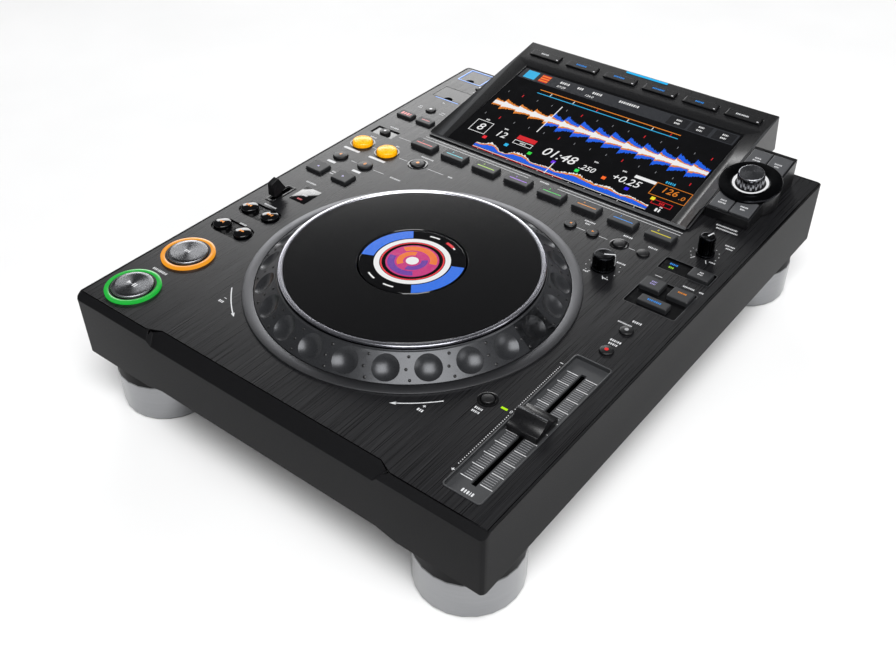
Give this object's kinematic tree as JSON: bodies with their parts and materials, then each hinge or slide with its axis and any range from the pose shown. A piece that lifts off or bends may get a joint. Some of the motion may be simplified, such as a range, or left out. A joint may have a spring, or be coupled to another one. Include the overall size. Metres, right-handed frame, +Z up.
{
  "type": "tabletop DJ disc player",
  "caption": "Flat black player with a large dimpled jog wheel, sloping touch screen, rows of keys, tempo slider and four round metal feet, for mixing music by hand",
  "frame": {"origin": "on the ground under the middle of the bounding box", "axes": "+Z up, the user stands on the -Y side, +X to the user's right"},
  "size_m": [0.329, 0.453, 0.1148],
  "materials": {
    "moulded_black": "matte",
    "brushed_black_aluminium": "brushed",
    "brushed_foot_metal": "brushed",
    "satin_black_plastic": "satin",
    "screen_glass": "gloss",
    "jog_metal": "satin",
    "spun_cap_metal": "spun",
    "black_chrome": "polished",
    "soft_black_rubber": "matte",
    "yellow_lens": "satin",
    "red_lens": "satin",
    "circuit_green": "satin",
    "dark_grey_plastic": "matte"
  },
  "bodies": {
    "base": {"base_case": "moulded_black", "top_panel": "brushed_black_aluminium", "foot_front_left": "brushed_foot_metal", "foot_front_right": "brushed_foot_metal", "foot_rear_left": "brushed_foot_metal", "foot_rear_right": "brushed_foot_metal", "display_housing": "satin_black_plastic", "display_screen": "screen_glass", "jog_display": "screen_glass", "selector_base": "satin_black_plastic", "main_board": "circuit_green"},
    "play_pause_button": {"play_pause_button": "spun_cap_metal"},
    "cue_button": {"cue_button": "spun_cap_metal"},
    "search_back_button": {"search_back_button": "soft_black_rubber"},
    "search_forward_button": {"search_forward_button": "soft_black_rubber"},
    "track_back_button": {"track_back_button": "soft_black_rubber"},
    "track_forward_button": {"track_forward_button": "soft_black_rubber"},
    "beat_jump_back_key": {"beat_jump_back_key": "soft_black_rubber"},
    "beat_jump_forward_key": {"beat_jump_forward_key": "soft_black_rubber"},
    "four_beat_loop_button": {"four_beat_loop_button": "soft_black_rubber"},
    "eight_beat_loop_button": {"eight_beat_loop_button": "soft_black_rubber"},
    "hot_cue_call_button": {"hot_cue_call_button": "soft_black_rubber"},
    "slip_key": {"slip_key": "soft_black_rubber"},
    "quantize_key": {"quantize_key": "soft_black_rubber"},
    "time_mode_button": {"time_mode_button": "soft_black_rubber"},
    "usb_stop_button": {"usb_stop_button": "soft_black_rubber"},
    "call_buttons": {"call_buttons": "soft_black_rubber"},
    "delete_button": {"delete_button": "soft_black_rubber"},
    "memory_button": {"memory_button": "soft_black_rubber"},
    "jog_mode_key": {"jog_mode_key": "soft_black_rubber"},
    "beat_sync_key": {"beat_sync_key": "soft_black_rubber"},
    "master_key": {"master_key": "soft_black_rubber"},
    "key_sync_key": {"key_sync_key": "soft_black_rubber"},
    "tempo_range_button": {"tempo_range_button": "soft_black_rubber"},
    "tempo_reset_button": {"tempo_reset_button": "soft_black_rubber"},
    "loop_in_button": {"loop_in_button": "yellow_lens"},
    "loop_out_button": {"loop_out_button": "yellow_lens"},
    "reloop_button": {"reloop_button": "yellow_lens"},
    "master_tempo_button": {"master_tempo_button": "red_lens"},
    "hot_cue_key_1": {"hot_cue_key_1": "dark_grey_plastic"},
    "hot_cue_key_2": {"hot_cue_key_2": "dark_grey_plastic"},
    "hot_cue_key_3": {"hot_cue_key_3": "dark_grey_plastic"},
    "hot_cue_key_4": {"hot_cue_key_4": "dark_grey_plastic"},
    "hot_cue_key_5": {"hot_cue_key_5": "dark_grey_plastic"},
    "hot_cue_key_6": {"hot_cue_key_6": "dark_grey_plastic"},
    "hot_cue_key_7": {"hot_cue_key_7": "dark_grey_plastic"},
    "hot_cue_key_8": {"hot_cue_key_8": "dark_grey_plastic"},
    "display_keys": {"display_keys": "satin_black_plastic"},
    "selector_keys_front": {"selector_keys_front": "dark_grey_plastic"},
    "selector_keys_rear": {"selector_keys_rear": "dark_grey_plastic"},
    "selector_shaft": {"selector_shaft": "spun_cap_metal"},
    "jog_wheel": {"jog_wheel": "jog_metal"},
    "jog_adjust_knob": {"jog_adjust_knob": "black_chrome"},
    "vinyl_speed_knob": {"vinyl_speed_knob": "black_chrome"},
    "selector_knob": {"selector_knob": "black_chrome"},
    "direction_lever": {"direction_lever": "satin_black_plastic"},
    "tempo_slider": {"tempo_slider": "satin_black_plastic"},
    "sd_door": {"sd_door": "satin_black_plastic"},
    "usb_door": {"usb_door": "satin_black_plastic"},
    "power_switch": {"power_switch": "satin_black_plastic"}
  },
  "joints": [
    {"name": "jog_wheel_turn", "type": "hinge", "parent": "base", "child": "jog_wheel", "pos_m": [0, -0.0818, 0.0867], "axis": [0, 0, 1], "continuous": true},
    {"name": "selector_knob_turn", "type": "hinge", "parent": "selector_shaft", "child": "selector_knob", "pos_m": [0.131, 0.1389, 0.1007], "axis": [0, -0.186, 0.9825], "continuous": true},
    {"name": "jog_adjust_knob_turn", "type": "hinge", "parent": "base", "child": "jog_adjust_knob", "pos_m": [0.09101, 0.00578, 0.0867], "axis": [0, 0, 1], "range_deg": [-140, 140]},
    {"name": "vinyl_speed_knob_turn", "type": "hinge", "parent": "base", "child": "vinyl_speed_knob", "pos_m": [0.1376, 0.06063, 0.0867], "axis": [0, 0, 1], "range_deg": [-140, 140]},
    {"name": "direction_lever_tip", "type": "hinge", "parent": "base", "child": "direction_lever", "pos_m": [-0.145, -0.05833, 0.0794], "axis": [-1, 0, 0], "range_deg": [0, 32]},
    {"name": "sd_door_open", "type": "hinge", "parent": "base", "child": "sd_door", "pos_m": [-0.14002, 0.15353, 0.0867], "axis": [-1, 0, 0], "range_deg": [0, 95]},
    {"name": "usb_door_open", "type": "hinge", "parent": "base", "child": "usb_door", "pos_m": [-0.1454, 0.19147, 0.0867], "axis": [-1, 0, 0], "range_deg": [0, 95]},
    {"name": "tempo_slider_move", "type": "slide", "parent": "base", "child": "tempo_slider", "axis": [0, 1, 0], "range_m": [-0.05, 0.05]},
    {"name": "play_pause_button_press", "type": "slide", "parent": "base", "child": "play_pause_button", "axis": [0, 0, -1], "range_m": [0, 0.0015], "stiffness_N_per_m": 500, "springref_m": -0.001},
    {"name": "cue_button_press", "type": "slide", "parent": "base", "child": "cue_button", "axis": [0, 0, -1], "range_m": [0, 0.0015], "stiffness_N_per_m": 500, "springref_m": -0.001},
    {"name": "search_back_button_press", "type": "slide", "parent": "base", "child": "search_back_button", "axis": [0, 0, -1], "range_m": [0, 0.001], "stiffness_N_per_m": 350, "springref_m": -0.001},
    {"name": "search_forward_button_press", "type": "slide", "parent": "base", "child": "search_forward_button", "axis": [0, 0, -1], "range_m": [0, 0.001], "stiffness_N_per_m": 350, "springref_m": -0.001},
    {"name": "track_back_button_press", "type": "slide", "parent": "base", "child": "track_back_button", "axis": [0, 0, -1], "range_m": [0, 0.001], "stiffness_N_per_m": 350, "springref_m": -0.001},
    {"name": "track_forward_button_press", "type": "slide", "parent": "base", "child": "track_forward_button", "axis": [0, 0, -1], "range_m": [0, 0.001], "stiffness_N_per_m": 350, "springref_m": -0.001},
    {"name": "beat_jump_back_key_press", "type": "slide", "parent": "base", "child": "beat_jump_back_key", "axis": [0, 0, -1], "range_m": [0, 0.001], "stiffness_N_per_m": 350, "springref_m": -0.001},
    {"name": "beat_jump_forward_key_press", "type": "slide", "parent": "base", "child": "beat_jump_forward_key", "axis": [0, 0, -1], "range_m": [0, 0.001], "stiffness_N_per_m": 350, "springref_m": -0.001},
    {"name": "four_beat_loop_button_press", "type": "slide", "parent": "base", "child": "four_beat_loop_button", "axis": [0, 0, -1], "range_m": [0, 0.001], "stiffness_N_per_m": 350, "springref_m": -0.001},
    {"name": "eight_beat_loop_button_press", "type": "slide", "parent": "base", "child": "eight_beat_loop_button", "axis": [0, 0, -1], "range_m": [0, 0.001], "stiffness_N_per_m": 350, "springref_m": -0.001},
    {"name": "hot_cue_call_button_press", "type": "slide", "parent": "base", "child": "hot_cue_call_button", "axis": [0, 0, -1], "range_m": [0, 0.001], "stiffness_N_per_m": 350, "springref_m": -0.001},
    {"name": "slip_key_press", "type": "slide", "parent": "base", "child": "slip_key", "axis": [0, 0, -1], "range_m": [0, 0.001], "stiffness_N_per_m": 350, "springref_m": -0.001},
    {"name": "quantize_key_press", "type": "slide", "parent": "base", "child": "quantize_key", "axis": [0, 0, -1], "range_m": [0, 0.001], "stiffness_N_per_m": 350, "springref_m": -0.001},
    {"name": "time_mode_button_press", "type": "slide", "parent": "base", "child": "time_mode_button", "axis": [0, 0, -1], "range_m": [0, 0.001], "stiffness_N_per_m": 350, "springref_m": -0.001},
    {"name": "usb_stop_button_press", "type": "slide", "parent": "base", "child": "usb_stop_button", "axis": [0, 0, -1], "range_m": [0, 0.001], "stiffness_N_per_m": 350, "springref_m": -0.001},
    {"name": "call_buttons_press", "type": "slide", "parent": "base", "child": "call_buttons", "axis": [0, 0, -1], "range_m": [0, 0.001], "stiffness_N_per_m": 350, "springref_m": -0.001},
    {"name": "delete_button_press", "type": "slide", "parent": "base", "child": "delete_button", "axis": [0, 0, -1], "range_m": [0, 0.001], "stiffness_N_per_m": 350, "springref_m": -0.001},
    {"name": "memory_button_press", "type": "slide", "parent": "base", "child": "memory_button", "axis": [0, 0, -1], "range_m": [0, 0.001], "stiffness_N_per_m": 350, "springref_m": -0.001},
    {"name": "jog_mode_key_press", "type": "slide", "parent": "base", "child": "jog_mode_key", "axis": [0, 0, -1], "range_m": [0, 0.001], "stiffness_N_per_m": 350, "springref_m": -0.001},
    {"name": "beat_sync_key_press", "type": "slide", "parent": "base", "child": "beat_sync_key", "axis": [0, 0, -1], "range_m": [0, 0.001], "stiffness_N_per_m": 350, "springref_m": -0.001},
    {"name": "master_key_press", "type": "slide", "parent": "base", "child": "master_key", "axis": [0, 0, -1], "range_m": [0, 0.001], "stiffness_N_per_m": 350, "springref_m": -0.001},
    {"name": "key_sync_key_press", "type": "slide", "parent": "base", "child": "key_sync_key", "axis": [0, 0, -1], "range_m": [0, 0.001], "stiffness_N_per_m": 350, "springref_m": -0.001},
    {"name": "tempo_range_button_press", "type": "slide", "parent": "base", "child": "tempo_range_button", "axis": [0, 0, -1], "range_m": [0, 0.001], "stiffness_N_per_m": 350, "springref_m": -0.001},
    {"name": "tempo_reset_button_press", "type": "slide", "parent": "base", "child": "tempo_reset_button", "axis": [0, 0, -1], "range_m": [0, 0.001], "stiffness_N_per_m": 350, "springref_m": -0.001},
    {"name": "loop_in_button_press", "type": "slide", "parent": "base", "child": "loop_in_button", "axis": [0, 0, -1], "range_m": [0, 0.001], "stiffness_N_per_m": 350, "springref_m": -0.001},
    {"name": "loop_out_button_press", "type": "slide", "parent": "base", "child": "loop_out_button", "axis": [0, 0, -1], "range_m": [0, 0.001], "stiffness_N_per_m": 350, "springref_m": -0.001},
    {"name": "reloop_button_press", "type": "slide", "parent": "base", "child": "reloop_button", "axis": [0, 0, -1], "range_m": [0, 0.001], "stiffness_N_per_m": 350, "springref_m": -0.001},
    {"name": "master_tempo_button_press", "type": "slide", "parent": "base", "child": "master_tempo_button", "axis": [0, 0, -1], "range_m": [0, 0.001], "stiffness_N_per_m": 350, "springref_m": -0.001},
    {"name": "hot_cue_key_1_press", "type": "slide", "parent": "base", "child": "hot_cue_key_1", "axis": [0, 0, -1], "range_m": [0, 0.0012], "stiffness_N_per_m": 400, "springref_m": -0.001},
    {"name": "hot_cue_key_2_press", "type": "slide", "parent": "base", "child": "hot_cue_key_2", "axis": [0, 0, -1], "range_m": [0, 0.0012], "stiffness_N_per_m": 400, "springref_m": -0.001},
    {"name": "hot_cue_key_3_press", "type": "slide", "parent": "base", "child": "hot_cue_key_3", "axis": [0, 0, -1], "range_m": [0, 0.0012], "stiffness_N_per_m": 400, "springref_m": -0.001},
    {"name": "hot_cue_key_4_press", "type": "slide", "parent": "base", "child": "hot_cue_key_4", "axis": [0, 0, -1], "range_m": [0, 0.0012], "stiffness_N_per_m": 400, "springref_m": -0.001},
    {"name": "hot_cue_key_5_press", "type": "slide", "parent": "base", "child": "hot_cue_key_5", "axis": [0, 0, -1], "range_m": [0, 0.0012], "stiffness_N_per_m": 400, "springref_m": -0.001},
    {"name": "hot_cue_key_6_press", "type": "slide", "parent": "base", "child": "hot_cue_key_6", "axis": [0, 0, -1], "range_m": [0, 0.0012], "stiffness_N_per_m": 400, "springref_m": -0.001},
    {"name": "hot_cue_key_7_press", "type": "slide", "parent": "base", "child": "hot_cue_key_7", "axis": [0, 0, -1], "range_m": [0, 0.0012], "stiffness_N_per_m": 400, "springref_m": -0.001},
    {"name": "hot_cue_key_8_press", "type": "slide", "parent": "base", "child": "hot_cue_key_8", "axis": [0, 0, -1], "range_m": [0, 0.0012], "stiffness_N_per_m": 400, "springref_m": -0.001},
    {"name": "display_keys_press", "type": "slide", "parent": "base", "child": "display_keys", "axis": [0, 0.186, -0.9825], "range_m": [0, 0.0008], "stiffness_N_per_m": 500, "springref_m": -0.001},
    {"name": "selector_keys_front_press", "type": "slide", "parent": "base", "child": "selector_keys_front", "axis": [0, 0.186, -0.9825], "range_m": [0, 0.0008], "stiffness_N_per_m": 400, "springref_m": -0.001},
    {"name": "selector_keys_rear_press", "type": "slide", "parent": "base", "child": "selector_keys_rear", "axis": [0, 0.186, -0.9825], "range_m": [0, 0.0008], "stiffness_N_per_m": 400, "springref_m": -0.001},
    {"name": "selector_shaft_press", "type": "slide", "parent": "base", "child": "selector_shaft", "axis": [0, 0.186, -0.9825], "range_m": [0, 0.0008], "stiffness_N_per_m": 900, "springref_m": -0.001},
    {"name": "power_switch_press", "type": "slide", "parent": "base", "child": "power_switch", "axis": [0, -1, 0], "range_m": [0, 0.0025], "stiffness_N_per_m": 500, "springref_m": -0.001}
  ]
}
